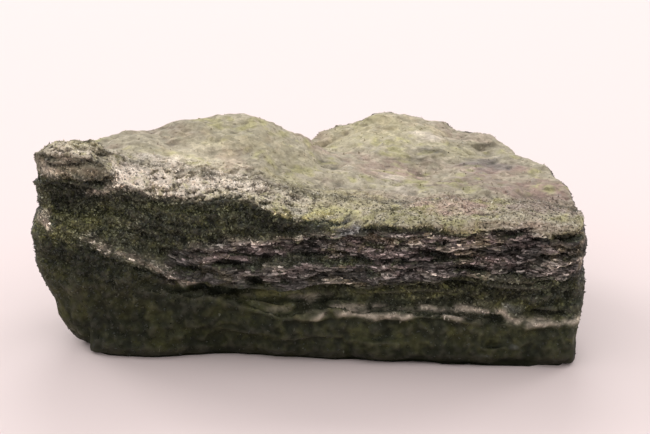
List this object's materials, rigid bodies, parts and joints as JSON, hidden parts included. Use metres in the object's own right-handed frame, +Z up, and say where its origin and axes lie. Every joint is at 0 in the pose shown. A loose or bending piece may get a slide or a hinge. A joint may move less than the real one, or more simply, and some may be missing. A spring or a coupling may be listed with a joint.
{
  "type": "rough peridot",
  "caption": "Broken palm-sized block of layered olive green rock, with a knob at one corner, two low humps on top and stepped beds down its front.",
  "frame": {"origin": "on the surface that the stone rests on, under the middle of its bounding box", "axes": "+X along the stone's length, towards its square end; -Y out of the broken front where the beds show; +Z up"},
  "size_m": [0.0654, 0.042, 0.0258],
  "materials": {
    "peridot_rock": "rough, granular broken rock, with small glassy grains"
  },
  "bodies": {
    "root": {"peridot_stone": "peridot_rock"}
  },
  "joints": []
}
